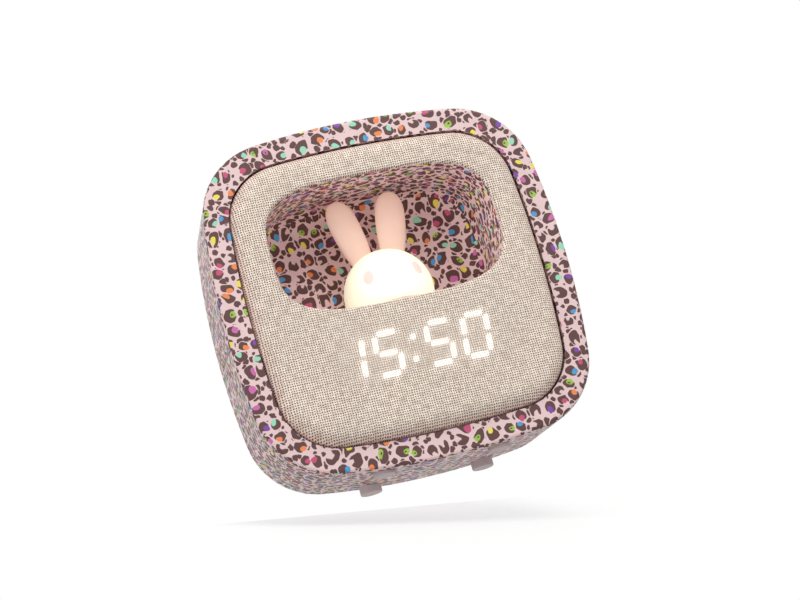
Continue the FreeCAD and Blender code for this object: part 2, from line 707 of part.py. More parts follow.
def make_back():
    cover = panel_solid(OPENING_HALF - COVER_GAP, COVER_IN, DEPTH)
    cover = cover.makeFillet(COVER_EDGE, edges_at(cover, DEPTH))
    inside_plate = COVER_IN + COVER_THICK / 4.0
    cover = cover.fuse([rod_y(x, z, POST_R, MAIN_REAR, inside_plate) for x, z in board_posts()])
    for cut in cover_cuts():
        cover = cover.cut(cut)
    save("rear_cover", cover)

    head_in = DEPTH - SCREW_HEAD - SCREW_SINK
    head_out = DEPTH - SCREW_SINK
    for sx, side in SIDES:
        for sz, level in ((-1, "low"), (1, "top")):
            x = sx * SCREW_AT
            z = sz * SCREW_AT
            head = rod_y(x, z, SCREW_HEAD_R, head_in, head_out)
            shank = rod_y(x, z, SCREW_R, head_in - SCREW_LENGTH, head_in + SCREW_HEAD / 4.0)
            cross = drive_cross(x, z, SCREW_HEAD_R, head_out - SCREW_HEAD / 2.0, head_out + OVER)
            save("rear_screw_" + level + "_" + side, fuse(head, shank).cut(cross))


def make_keys():
    for x, name in zip(KEY_X, ("key_alarm", "key_mode", "key_down", "key_up")):
        key = rod_y(x, KEY_Z, KEY_R, KEY_IN, KEY_OUT)
        key = key.makeFillet(KEY_EDGE, edges_at(key, KEY_OUT))
        save(name, fuse(key, rod_y(x, KEY_Z, KEY_FLANGE_R, FLANGE_TOP - KEY_FLANGE, FLANGE_TOP)))
    switches = []
    for x in KEY_X:
        z0 = KEY_Z - SWITCH_HALF
        z1 = KEY_Z + SWITCH_HALF
        body = box(x - SWITCH_HALF, x + SWITCH_HALF, MAIN_REAR, MAIN_REAR + SWITCH_BODY, z0, z1)
        switches.append(fuse(body, rod_y(x, KEY_Z, SWITCH_STEM_R, MAIN_REAR + SWITCH_BODY, SWITCH_TOP)))
    save("tact_switches", *switches)


def make_slider():
    z = SLIDER_Z
    tip = DEPTH + SLIDER_PROUD
    plate_in = FLANGE_TOP - KEY_FLANGE
    half = SLIDER_HALF
    tall = SLIDER_TALL
    knob = box(-half, half, plate_in, tip, z - tall, z + tall)
    for i in (-1, 0, 1):
        x0 = i * RIB_SPACING - RIB_CUT / 2.0
        knob = knob.cut(box(x0, x0 + RIB_CUT, tip - RIB_CUT, tip + OVER, z - tall - OVER, z + tall + OVER))
    half += SLIDER_LAP
    tall += SLIDER_LAP
    plate = box(-half, half, plate_in, FLANGE_TOP, z - tall, z + tall)
    prong_in = plate_in - SLIDER_BED
    half = SLIDER_PRONG
    prong = box(-half, half, prong_in, plate_in + SLIDER_GAP, z - half, z + half)
    save("power_slider", fuse(knob, plate, prong))

    top = plate_in - 2.0 * SLIDER_GAP
    run = SLIDER_PRONG + SLIDER_TRAVEL + SLIDER_GAP
    side = SLIDER_PRONG + SLIDER_GAP
    half = run + SLIDER_BED
    tall = side + SLIDER_PRONG
    body = box(-half, half, MAIN_REAR, top, z - tall, z + tall)
    save("slide_switch", body.cut(box(-run, run, prong_in - SLIDER_GAP, top + OVER, z - side, z + side)))


def make_main_board():
    board = box(-MAIN_HALF, MAIN_HALF, MAIN_D, MAIN_REAR, MAIN_LOW, MAIN_HIGH)
    screws = []
    for x, z in board_posts():
        board = board.cut(rod_y(x, z, POST_SCREW_R, MAIN_D - OVER, MAIN_REAR + OVER))
        head_in = MAIN_D - POST_SCREW_HEAD
        head = rod_y(x, z, POST_SCREW_HEAD_R, head_in, MAIN_D)
        shank = rod_y(x, z, POST_SCREW_R, MAIN_D - POST_SCREW_HEAD / 4.0, MAIN_D + POST_SCREW_LENGTH)
        cross = drive_cross(x, z, POST_SCREW_HEAD_R, head_in - OVER, head_in + POST_SCREW_HEAD / 2.0)
        screws.append(fuse(head, shank).cut(cross))
    save("main_board", board)
    save("board_screws", *screws)


def make_usb():
    def sleeve(inset, d0, d1):
        half = USB_HALF - inset
        tall = USB_TALL - inset
        solid = box(-half, half, d0, d1, USB_Z - tall, USB_Z + tall)
        long_edges = [e for e in solid.Edges if e.BoundBox.YLength > (d1 - d0) / 2.0]
        return solid.makeFillet(USB_CORNER - inset / 2.0, long_edges)

    end = DEPTH - USB_SINK
    shell = sleeve(0.0, MAIN_REAR, end).cut(sleeve(USB_SHELL, MAIN_REAR + 1.5, end + OVER))
    half = USB_HALF - 3.0 * USB_SHELL
    tongue = box(-half, half, MAIN_REAR + 1.0, end - 1.0, USB_Z - USB_TONGUE, USB_Z + USB_TONGUE)
    save("usb_socket", shell.fuse([tongue]))


def make_speaker():
    z = SPEAKER_Z
    inner_r = SPEAKER_R - SPEAKER_RING
    plate = SPEAKER_D + SPEAKER_PLATE
    basket = rod_y(0, z, SPEAKER_R, SPEAKER_D, COVER_IN)
    basket = basket.cut(rod_y(0, z, inner_r, plate, COVER_IN + OVER))
    save("speaker_basket", basket.cut(rod_y(0, z, SPEAKER_HOLE_R, SPEAKER_D - OVER, plate + OVER)))
    magnet = rod_y(0, z, MAGNET_R, SPEAKER_D - MAGNET_THICK, SPEAKER_D)
    save("speaker_magnet", magnet.makeFillet(MAGNET_EDGE, edges_at(magnet, SPEAKER_D - MAGNET_THICK)))
    rim = COVER_IN - 2.0 * CONE_THICK
    throat = rim - 2.0
    crown = throat + 1.0
    half = [(0.0, crown), (CAP_R, throat), (inner_r, rim)]
    half += [(x, d + CONE_THICK) for x, d in reversed(half)]
    loop = [pt(x, d, z) for x, d in half + half[:1]]
    save("speaker_cone", Part.Face(Part.makePolygon(loop)).revolve(pt(0, 0, z), ALONG_Y, 360))


def make_battery():
    half = BATTERY_LENGTH / 2.0
    cell = rod_x(BATTERY_D, BATTERY_Z, BATTERY_R, -half, half)
    ends = [e for e in cell.Edges if e.BoundBox.XLength < 0.01]
    save("battery_cell", cell.makeFillet(BATTERY_EDGE, ends))
    out = half + HOLDER_END
    deep = BATTERY_R + HOLDER_SIDE
    low = BATTERY_Z - BATTERY_R - HOLDER_FLOOR
    tray = box(-out, out, BATTERY_D - deep, BATTERY_D + deep, low, BATTERY_Z)
    arm_low = BATTERY_Z - ARM_LOW
    arm_top = BATTERY_Z + ARM_HIGH
    arms = [box(x, x + HOLDER_END, BATTERY_D - deep, COVER_IN, arm_low, arm_top) for x in (-out, half)]
    save("battery_holder", tray.fuse(arms).cut(rod_x(BATTERY_D, BATTERY_Z, BATTERY_R, -half, half)))


def strip(span, path):
    """A flat lead of constant width whose middle line runs through path in depth and height."""
    h = LEAD / 2.0
    x0, x1 = span
    runs = []
    for (d0, z0), (d1, z1) in zip(path, path[1:]):
        runs.append(box(x0, x1, min(d0, d1) - h, max(d0, d1) + h, min(z0, z1) - h, max(z0, z1) + h))
    return fuse(runs[0], *runs[1:])


def make_leads():
    h = LEAD / 2.0
    bend = MAIN_D - LEAD_BEND
    join = MAIN_LOW + OVER
    board_face = MAIN_D - h
    low = max(display_window()[2], BATTERY_Z + BATTERY_R + LEAD_ROOM)
    start = REFLECTOR_BACK + BOARD + h
    save("display_ribbon", strip(RIBBON_X, [(start, low), (bend, low), (bend, join), (board_face, join)]))
    under = LAMP_LOW - h
    start = HEAD_D + LAMP_BACK - LEAD_LAP
    save("lamp_lead", strip(LAMP_LEAD_X, [(start, under), (bend, under), (bend, join), (board_face, join)]))
    top = BATTERY_Z + BATTERY_R + h
    over = low - LEAD_BEND
    path = [(BATTERY_D, top), (BATTERY_D, over), (bend, over), (bend, join), (board_face, join)]
    save("battery_lead", strip(BATTERY_LEAD_X, path))
    x0, x1 = SPEAKER_LEAD_X
    end = SPEAKER_Z + SPEAKER_R / 2.0
    lead = box(x0, x1, MAIN_REAR, MAIN_REAR + LEAD, end, MAIN_LOW + LEAD_LAP)
    save("speaker_lead", fuse(lead, box(x0, x1, MAIN_REAR, SPEAKER_D, end, end + LEAD)))


os.makedirs("parts", exist_ok=True)
casing = casing_outer()
make_shell(casing)
make_feet(casing)
make_front_panel()
make_niche_liner()
make_ears(make_head())
make_press_guide()
make_lamp()
make_display()
make_back()
make_keys()
make_slider()
make_main_board()
make_usb()
make_speaker()
make_battery()
make_leads()
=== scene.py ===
"""Looks of the bedside clock: print, cloth, glow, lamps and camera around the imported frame. Metres, Z up."""

import math

import bmesh
import bpy
from mathutils import Matrix, Vector


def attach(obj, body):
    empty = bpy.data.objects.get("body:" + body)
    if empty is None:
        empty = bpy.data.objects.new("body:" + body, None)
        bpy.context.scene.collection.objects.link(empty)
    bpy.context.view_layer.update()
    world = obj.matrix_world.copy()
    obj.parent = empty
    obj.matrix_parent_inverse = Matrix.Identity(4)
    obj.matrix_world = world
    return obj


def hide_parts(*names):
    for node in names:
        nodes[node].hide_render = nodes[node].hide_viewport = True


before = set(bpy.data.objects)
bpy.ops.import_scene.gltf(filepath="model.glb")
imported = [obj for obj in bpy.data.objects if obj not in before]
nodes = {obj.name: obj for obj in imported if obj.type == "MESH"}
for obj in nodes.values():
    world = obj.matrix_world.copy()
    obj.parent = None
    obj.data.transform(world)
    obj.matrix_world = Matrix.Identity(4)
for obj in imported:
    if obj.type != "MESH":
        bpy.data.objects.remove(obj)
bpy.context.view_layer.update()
scene = bpy.context.scene

MM = 0.001
RIM_Y = -0.0235
MID_Z = 0.0729

# Sizes that the cloth, the print and the digits share with the CAD source, in millimetres
HALF_WIDTH = 72.5
RIM_INNER = 61.9
CLOTH_HALF = 61.4
INNER_SIDE_RADIUS = 400.0
INNER_CORNER_RADIUS = 25.0
CLOTH_TOP = -4.0
CLOTH_ROUND = 7.0
CLOTH_BACK = 7.8
LIP_ROUND = 1.4
LIP_BACK = -2.3
NICHE_A = 47.5
NICHE_B = 27.1
NICHE_Z = 20.7
NICHE_POWER = 3.5
DISPLAY_X = -1.4
DISPLAY_Z = -27.5
DIGIT_W = 9.8
DIGIT_H = 17.0
DIGIT_X = (-26.1, -10.75, 10.75, 26.1)
DOT_Z = 4.6
STROKE = 2.1
STROKE_CLIP = 0.55
STROKE_END = 1.2
STROKE_SPLIT = 1.0
SLANT = 0.1228

# Printed film: its colours, and how it lies over the casing's front and sides
PINK = (0.807, 0.600, 0.600)
BROWN = (0.112, 0.048, 0.044)
HUES = (
    (0.871, 0.262, 0.084),
    (0.862, 0.745, 0.095),
    (0.591, 0.087, 0.201),
    (0.083, 0.342, 0.651),
    (0.212, 0.068, 0.402),
    (0.314, 0.711, 0.515),
    (0.612, 0.152, 0.418),
    (0.323, 0.572, 0.052),
)
HUES_FROM = 0.22
FLAT_FACING = 0.62
SIDE_SQUEEZE = 1.35
SIDE_START = 90.0

# Printed blobs: pitches in millimetres, the other sizes as shares of the pitch
BLOB_PITCH = 6.3
BLOB_JITTER = 0.5
BLOB_BORDER = 0.02
BLOB_LEAST = 0.38
BLOB_SPREAD = 0.1
SPOT_OUT = 0.17
SPOT_R = 0.19
PIP_OUT = 0.1
PIP_R = 0.07
DISC_EDGE = 0.02
SPOT_FROM = 0.24
PIP_FROM = 0.9
FILL_PITCH = 3.2
FILL_JITTER = 0.9
FILL_LEAST = 0.29
FILL_SPREAD = 0.2
FILL_CLEAR = 0.41

# Cloth: the divisions of its mesh, then its hem, slack and weave in millimetres
RING_PLACES = 384
ROUND_STEPS = 10
FACE_STEPS = 22
LIP_STEPS = 5
HEM_FOLD = 5.4
SLACK_WAVE = 0.11
SLACK_RISE = 0.08
THREAD_PITCH = 0.97
THREAD_SWAY = 0.9
THREAD_DARK = (0.68, 0.555, 0.465)
THREAD_LIGHT = (1.0, 0.88, 0.77)
# Painted shade: the dark colour of the gaps between threads
PORE_SHADE = (0.13, 0.092, 0.07)
# Painted reflection: pink tint where the cloth turns down, standing in for light thrown back from the pink rim
PINK_BOUNCE = (0.98, 0.80, 0.80)

# Ground and world, in metres and in shares of white
GROUND_HALF = 3.0
GROUND_REACH = 1.0
PATCH_WIDE = 0.5
PATCH_DEEP = 0.45
PATCH_DROP = 0.070
PATCH_REACH = 0.34
PATCH_TOP = -0.0004
PIVOT = (0.0, 0.0, 0.055)
AMBIENT = 0.67


# Node formulas


class Num:
    """A number inside a node tree, so that a formula reads as arithmetic."""

    def __init__(self, tree, socket):
        self.tree = tree
        self.socket = socket

    def op(self, name, *others):
        made = self.tree.nodes.new("ShaderNodeMath")
        made.operation = name
        for slot, value in zip(made.inputs, (self, *others)):
            plug(self.tree, value, slot)
        return Num(self.tree, made.outputs[0])

    def __add__(self, other):
        return self.op("ADD", other)

    def __sub__(self, other):
        return self.op("SUBTRACT", other)

    def __mul__(self, other):
        return self.op("MULTIPLY", other)

    def __truediv__(self, other):
        return self.op("DIVIDE", other)

    def __neg__(self):
        return self.op("MULTIPLY", -1.0)

    def inverse(self):
        """One minus the number."""
        return (-self).op("ADD", 1.0)

    def size(self):
        return self.op("ABSOLUTE")

    def below(self, other):
        return self.op("LESS_THAN", other)

    def above(self, other):
        return self.op("GREATER_THAN", other)

    def least(self, other):
        return self.op("MINIMUM", other)

    def most(self, other):
        return self.op("MAXIMUM", other)

    def ramp(self, start, end):
        """Rises smoothly from 0 at start to 1 at end."""
        made = self.tree.nodes.new("ShaderNodeMapRange")
        made.interpolation_type = "SMOOTHSTEP"
        plug(self.tree, self, made.inputs["Value"])
        plug(self.tree, start, made.inputs["From Min"])
        plug(self.tree, end, made.inputs["From Max"])
        return Num(self.tree, made.outputs["Result"])


def plug(tree, value, slot):
    """Joins a number, a socket or a plain value to an input."""
    if isinstance(value, Num):
        value = value.socket
    if isinstance(value, bpy.types.NodeSocket):
        tree.links.new(value, slot)
    elif slot.type == "RGBA" and len(value) == 3:
        slot.default_value = (*value, 1.0)
    else:
        slot.default_value = value


def add(tree, kind, settings=None, **inputs):
    made = tree.nodes.new("ShaderNode" + kind)
    for name, value in (settings or {}).items():
        setattr(made, name, value)
    for name, value in inputs.items():
        plug(tree, value, made.inputs[name.replace("_", " ")])
    return made


def split(tree, socket):
    made = add(tree, "SeparateXYZ", Vector=socket)
    return [Num(tree, s) for s in made.outputs]


def vector(tree, x, y, z=0.0):
    return add(tree, "CombineXYZ", X=x, Y=y, Z=z).outputs[0]


def noise(tree, place, scale, detail=2.0, roughness=0.5):
    made = add(tree, "TexNoise", Vector=place, Scale=scale, Detail=detail, Roughness=roughness)
    return Num(tree, made.outputs["Fac"])


def mix(tree, share, first, second):
    made = add(tree, "Mix", {"data_type": "RGBA"})
    plug(tree, share, made.inputs[0])
    plug(tree, first, made.inputs[6])
    plug(tree, second, made.inputs[7])
    return made.outputs[2]


def shade(tree, colour, amount):
    """The colour multiplied by a number."""
    made = add(tree, "VectorMath", {"operation": "SCALE"}, Scale=amount)
    plug(tree, colour, made.inputs[0])
    return made.outputs[0]


def multiply(tree, first, second):
    made = add(tree, "VectorMath", {"operation": "MULTIPLY"})
    plug(tree, first, made.inputs[0])
    plug(tree, second, made.inputs[1])
    return made.outputs[0]


def bump(tree, height, distance, strength=1.0):
    return add(tree, "Bump", Height=height, Distance=distance, Strength=strength).outputs[0]


def material(name):
    """A new material, with its tree, its main shader and the place on the object in millimetres."""
    made = bpy.data.materials.new(name)
    made.use_nodes = True
    tree = made.node_tree
    shader = tree.nodes["Principled BSDF"]
    where = tree.nodes.new("ShaderNodeTexCoord")
    in_mm = add(tree, "VectorMath", {"operation": "MULTIPLY_ADD"})
    tree.links.new(where.outputs["Object"], in_mm.inputs[0])
    in_mm.inputs[1].default_value = (1.0 / MM, 1.0 / MM, 1.0 / MM)
    in_mm.inputs[2].default_value = (0.0, -RIM_Y / MM, -MID_Z / MM)
    return made, tree, shader, in_mm.outputs[0]


def paint(node, made):
    """Gives a CAD node one material."""
    mesh = nodes[node].data
    mesh.materials.clear()
    mesh.materials.append(made)


# Printed casing


def around(x, z, half_x, half_z):
    """The distance round an oblong outline, from the middle of its right side and back to it."""
    upper = z.above(0.0)
    right = x.above(0.0)
    first = z - x
    second = -(z + x) + 2.0 * half_z
    third = x - z + 2.0 * (half_z + half_x)
    fourth = z + x + (4.0 * half_z + 2.0 * half_x)
    top = first * right + second * right.inverse()
    low = fourth * right + third * right.inverse()
    return top * upper + low * upper.inverse()


def print_place(tree, place, half_x, half_z, mid_z):
    """Where a point lies on the printed film: flat over the front and back, wrapped round the sides."""
    x, d, z = split(tree, place)
    z = z - mid_z
    facing = split(tree, tree.nodes.new("ShaderNodeNewGeometry").outputs["True Normal"])[1]
    flat = facing.size().above(FLAT_FACING)
    u = x * flat + around(x, z, half_x, half_z) * flat.inverse()
    v = z * flat + (d * SIDE_SQUEEZE + SIDE_START) * flat.inverse()
    return u, v


def wander(tree, u, v, amount, scale):
    """The place moved a little by smooth noise, which gives the blobs their hand-drawn outlines."""
    du = (noise(tree, vector(tree, u, v), scale, 1.0) - 0.5) * (2.0 * amount)
    dv = (noise(tree, vector(tree, u + 71.0, v - 33.0), scale, 1.0) - 0.5) * (2.0 * amount)
    return u + du, v + dv


def disc(u, v, cu, cv, radius):
    """A soft-edged round spot at one place."""
    du = u - cu
    dv = v - cv
    return (du * du + dv * dv).op("SQRT").ramp(radius - DISC_EDGE, radius + DISC_EDGE).inverse()


def rosettes(tree, u, v, pitch):
    """Dark broken blobs, most of them with a coloured spot in the opening.

    Returns the blobs, the spots, a number for each blob, and the distance to the nearest blob's middle.
    """
    u, v = wander(tree, u, v, 4.0, 0.05)
    u, v = wander(tree, u, v, 0.9, 0.3)
    place = vector(tree, u, v)
    settings = {"voronoi_dimensions": "2D"}
    layout = {"Vector": place, "Scale": 1.0 / pitch, "Randomness": BLOB_JITTER}
    cells = add(tree, "TexVoronoi", settings, **layout)
    edges = add(tree, "TexVoronoi", {**settings, "feature": "DISTANCE_TO_EDGE"}, **layout)
    border = Num(tree, edges.outputs["Distance"]) - BLOB_BORDER
    apart = Num(tree, cells.outputs["Distance"])
    own = split(tree, cells.outputs["Color"])
    centre = split(tree, cells.outputs["Position"])
    across = (u - centre[0]) / pitch
    along = (v - centre[1]) / pitch
    turn = own[0] * (2.0 * math.pi)
    open_u = turn.op("COSINE")
    open_v = turn.op("SINE")
    reach = own[1] * BLOB_SPREAD + BLOB_LEAST
    blob = ((reach - apart).most(0.0) * border.most(0.0)).ramp(0.006, 0.010)
    ahead = across * open_u + along * open_v
    aside = (across * open_v - along * open_u).size()
    mouth = ahead.ramp(0.02, 0.07) * (aside - ahead * 0.4).ramp(0.03, 0.09).inverse()
    number = own[2]
    spot = disc(across, along, open_u * SPOT_OUT, open_v * SPOT_OUT, SPOT_R)
    pip = disc(across, along, open_u * PIP_OUT, open_v * PIP_OUT, PIP_R) * number.above(PIP_FROM)
    spot = spot * number.above(SPOT_FROM) * pip.inverse()
    return (blob * mouth.inverse()).most(pip), spot, number, apart


def filler(tree, u, v, apart, pitch):
    """Small plain spots in the room between the large blobs."""
    u, v = wander(tree, u, v, 0.8, 0.6)
    layout = {"Vector": vector(tree, u, v), "Scale": 1.0 / pitch, "Randomness": FILL_JITTER}
    cells = add(tree, "TexVoronoi", {"voronoi_dimensions": "2D"}, **layout)
    own = split(tree, cells.outputs["Color"])
    reach = own[0] * FILL_SPREAD + FILL_LEAST
    inside = (reach - Num(tree, cells.outputs["Distance"])).most(0.0)
    return (inside * (apart - FILL_CLEAR).most(0.0)).ramp(0.003, 0.007)


def hues(tree, number):
    """One of eight bright print colours for each blob."""
    made = tree.nodes.new("ShaderNodeValToRGB")
    ramp = made.color_ramp
    ramp.interpolation = "CONSTANT"
    while len(ramp.elements) < len(HUES):
        ramp.elements.new(1.0)
    for i, colour in enumerate(HUES):
        ramp.elements[i].position = HUES_FROM + (1.0 - HUES_FROM) * i / len(HUES) if i else 0.0
        ramp.elements[i].color = (*colour, 1.0)
    plug(tree, number, made.inputs["Fac"])
    return made.outputs["Color"]


def printed(name, half_x, half_z, mid_z, tone_and_painted_light, roughness):
    """Leopard-print film: blobs and bright spots on pale pink, with a faint mottle and moulded grain."""
    made, tree, shader, place = material(name)
    u, v = print_place(tree, place, half_x, half_z, mid_z)
    blob, spot, own, apart = rosettes(tree, u, v, BLOB_PITCH)
    small = filler(tree, u, v, apart, FILL_PITCH)
    mottle = noise(tree, place, 0.12, 3.0) * 0.16 + 0.92
    colour = mix(tree, blob.most(small), PINK, BROWN)
    colour = mix(tree, spot, colour, hues(tree, own))
    # The print's own tone, times a factor that on the recess also paints in light
    colour = shade(tree, colour, mottle * tone_and_painted_light)
    plug(tree, colour, shader.inputs["Base Color"])
    wear = noise(tree, place, 0.5, 4.0, 0.6)
    plug(tree, wear * 0.14 + roughness, shader.inputs["Roughness"])
    grain = noise(tree, place, 3.5, 3.0, 0.55)
    plug(tree, bump(tree, grain, 0.00006, 0.35), shader.inputs["Normal"])
    shader.inputs["Specular IOR Level"].default_value = 0.35
    return made


paint("front_shell", printed("casing_print", HALF_WIDTH, HALF_WIDTH, 0.0, 0.84, 0.42))
# The recess print is painted lighter than the casing's: painted light standing in for the light the shaded
# recess lacks
paint("niche_liner", printed("recess_print", NICHE_A, NICHE_B, NICHE_Z, 1.2, 0.5))


# Cloth with the lit digits behind it


def bar_group():
    """How far a point is outside an upright or lying bar with clipped ends."""
    tree = bpy.data.node_groups.new("display_bar", "ShaderNodeTree")
    for name in ("Along", "Across", "Half"):
        tree.interface.new_socket(name, in_out="INPUT", socket_type="NodeSocketFloat")
    tree.interface.new_socket("Outside", in_out="OUTPUT", socket_type="NodeSocketFloat")
    given = tree.nodes.new("NodeGroupInput")
    along, across, half = (Num(tree, given.outputs[i]) for i in range(3))
    along = along.size()
    across = across.size()
    end = along - half
    side = across - STROKE / 2.0
    corner = (end + side + STROKE_CLIP) * math.sqrt(0.5)
    result = tree.nodes.new("NodeGroupOutput")
    plug(tree, end.most(side).most(corner), result.inputs[0])
    return tree


def lit_bars():
    """The lit bars of 15:50, each as its middle, its half length and whether it stands upright."""
    w = DIGIT_W / 2.0
    h = DIGIT_H / 2.0
    lying = w - STROKE_END
    tall = (h - STROKE_END - STROKE_SPLIT) / 2.0
    mid = STROKE_SPLIT + tall
    parts = {
        "top": (0.0, h, lying, False),
        "middle": (0.0, 0.0, lying, False),
        "foot": (0.0, -h, lying, False),
        "upper_left": (-w, mid, tall, True),
        "upper_right": (w, mid, tall, True),
        "lower_left": (-w, -mid, tall, True),
        "lower_right": (w, -mid, tall, True),
    }
    one = ("upper_right", "lower_right")
    five = ("top", "upper_left", "middle", "lower_right", "foot")
    nought = ("top", "upper_left", "upper_right", "lower_left", "lower_right", "foot")
    found = []
    for cx, lit in zip(DIGIT_X, (one, five, five, nought)):
        found += [(cx + parts[p][0], *parts[p][1:]) for p in lit]
    return found + [(0.0, z, STROKE / 2.0, False) for z in (DOT_Z, -DOT_Z)]


def digits_outside(tree, x, z):
    group = bar_group()
    low = z - DISPLAY_Z
    lean = x - DISPLAY_X - low * SLANT
    nearest = None
    for cx, cz, half, upright in lit_bars():
        used = tree.nodes.new("ShaderNodeGroup")
        used.node_tree = group
        dx = lean - cx
        dz = low - cz
        plug(tree, dz if upright else dx, used.inputs["Along"])
        plug(tree, dx if upright else dz, used.inputs["Across"])
        used.inputs["Half"].default_value = half
        outside = Num(tree, used.outputs[0])
        nearest = outside if nearest is None else nearest.least(outside)
    return nearest


def cloth_material():
    """Beige plain weave with uneven threads, painted shade in the pores and on the low parts of the threads,
    and the digits glowing through it.
    """
    made, tree, shader, place = material("linen")
    x, d, z = split(tree, place)
    sway_x = (noise(tree, vector(tree, x * 0.12, z * 1.1), 1.0) - 0.5) * THREAD_SWAY
    sway_z = (noise(tree, vector(tree, x * 1.1, z * 0.12), 1.0) - 0.5) * THREAD_SWAY
    turn_x = (x + sway_x) * (math.pi / THREAD_PITCH)
    turn_z = (z + sway_z) * (math.pi / THREAD_PITCH)
    warp = turn_x.op("COSINE").size()
    weft = turn_z.op("COSINE").size()
    over = (turn_x + math.pi / 2.0).op("COSINE") * (turn_z + math.pi / 2.0).op("COSINE")
    woven = over.ramp(-0.25, 0.25)
    height = (warp * woven).most(weft * woven.inverse())
    threads = warp.most(weft)
    yarn_x = noise(tree, vector(tree, x / THREAD_PITCH, z * 0.22), 1.0, 3.0)
    yarn_z = noise(tree, vector(tree, x * 0.22, z / THREAD_PITCH), 1.0, 3.0)
    yarn = yarn_x * woven + yarn_z * woven.inverse()
    pore = threads.ramp(0.56, 0.97)
    light = mix(tree, yarn.ramp(0.36, 0.64), THREAD_DARK, THREAD_LIGHT)
    # Painted shade: dark gaps between the threads, and the threads darker where they dip under the crossing
    # ones
    colour = mix(tree, pore, PORE_SHADE, light)
    colour = shade(tree, colour, height * 0.2 + 0.86)
    patch = noise(tree, place, 0.035, 2.0) * 0.12 + 0.94
    # Painted reflection: the cloth is tinted pink where it turns back towards the hem, standing in for light
    # bounced from the pink rim
    pink_bounce = mix(tree, d.ramp(-3.9, 1.5), (1.0, 1.0, 1.0), PINK_BOUNCE)
    colour = multiply(tree, colour, pink_bounce)
    plug(tree, shade(tree, colour, patch), shader.inputs["Base Color"])
    shader.inputs["Roughness"].default_value = 0.9
    shader.inputs["Specular IOR Level"].default_value = 0.2
    shader.inputs["Sheen Weight"].default_value = 0.12
    shader.inputs["Sheen Roughness"].default_value = 0.5
    plug(tree, bump(tree, height, 0.00025, 0.55), shader.inputs["Normal"])
    outside = digits_outside(tree, x, z)
    lit = outside.ramp(-0.2, 0.55).inverse()
    halo = outside.ramp(-0.2, 3.2).inverse() * 0.075
    glow = (lit * (pore * 0.4 + 0.3)).most(halo)
    plug(tree, glow, shader.inputs["Emission Strength"])
    shader.inputs["Emission Color"].default_value = (1.0, 0.985, 0.95, 1.0)
    return made


def outline(angle):
    """A place on the panel's rounded square at one angle, and its outward direction."""
    w = CLOTH_HALF
    t = RIM_INNER - w
    rs = INNER_SIDE_RADIUS - t
    rc = INNER_CORNER_RADIUS - t
    a = w - rs
    c = (a + math.sqrt(2.0 * (rs - rc) ** 2 - a * a)) / 2.0
    near = c + rc * (c - a) / (rs - rc)
    far = c + rc * c / (rs - rc)
    turn = math.atan2(far, near)
    quarter = math.floor((angle + turn) / (math.pi / 2.0))
    local = angle - quarter * math.pi / 2.0
    dx, dz = math.cos(local), math.sin(local)
    middle, radius = ((a, 0.0), rs) if local <= turn else ((c, c), rc)
    along = dx * middle[0] + dz * middle[1]
    reach = along + math.sqrt(along**2 - middle[0] ** 2 - middle[1] ** 2 + radius**2)
    px, pz = reach * dx, reach * dz
    nx, nz = (px - middle[0]) / radius, (pz - middle[1]) / radius
    co, si = math.cos(quarter * math.pi / 2.0), math.sin(quarter * math.pi / 2.0)
    return (px * co - pz * si, px * si + pz * co), (nx * co - nz * si, nx * si + nz * co)


def recess(angle):
    """A place on the recess outline and its outward direction."""
    c, s = math.cos(angle), math.sin(angle)
    x = math.copysign(abs(c) ** (2.0 / NICHE_POWER), c)
    z = math.copysign(abs(s) ** (2.0 / NICHE_POWER), s)
    nx = math.copysign(abs(x) ** (NICHE_POWER - 1.0), x) / NICHE_A
    nz = math.copysign(abs(z) ** (NICHE_POWER - 1.0), z) / NICHE_B
    n = math.hypot(nx, nz)
    return (x * NICHE_A, NICHE_Z + z * NICHE_B), (nx / n, nz / n)


def round_angles():
    return [2.0 * math.pi * (i + 0.5) / RING_PLACES for i in range(RING_PLACES)]


def cloth_rings():
    """Closed rings of places from the hidden hem, over the crown, to the turned lip of the recess."""
    outer = [outline(a) for a in round_angles()]
    middle = [math.atan2((p[1] - NICHE_Z) / NICHE_B, p[0] / NICHE_A) for p, _ in outer]
    inner = []
    for m in middle:
        s = math.copysign(abs(math.sin(m)) ** (NICHE_POWER / 2.0), math.sin(m))
        c = math.copysign(abs(math.cos(m)) ** (NICHE_POWER / 2.0), math.cos(m))
        inner.append(recess(math.atan2(s, c)))
    rings = []
    for d in (CLOTH_BACK, HEM_FOLD):
        rings.append([(p[0], d, p[1]) for p, _ in outer])
    for i in range(ROUND_STEPS + 1):
        turn = 0.5 * math.pi * i / ROUND_STEPS
        back = CLOTH_ROUND * (1.0 - math.cos(turn))
        d = CLOTH_TOP + CLOTH_ROUND * (1.0 - math.sin(turn))
        rings.append([(p[0] - n[0] * back, d, p[1] - n[1] * back) for p, n in outer])
    crown = rings[-1]
    lip = [(q[0] + n[0] * LIP_ROUND, CLOTH_TOP, q[1] + n[1] * LIP_ROUND) for q, n in inner]
    for i in range(1, FACE_STEPS):
        t = i / FACE_STEPS
        rings.append([tuple(a + (b - a) * t for a, b in zip(p, q)) for p, q in zip(crown, lip)])
    for i in range(LIP_STEPS + 1):
        turn = 0.5 * math.pi * i / LIP_STEPS
        out = LIP_ROUND * (1.0 - math.sin(turn))
        d = CLOTH_TOP + LIP_ROUND * (1.0 - math.cos(turn))
        rings.append([(q[0] + n[0] * out, d, q[1] + n[1] * out) for q, n in inner])
    rings.append([(q[0], LIP_BACK, q[1]) for q, _ in inner])
    return rings


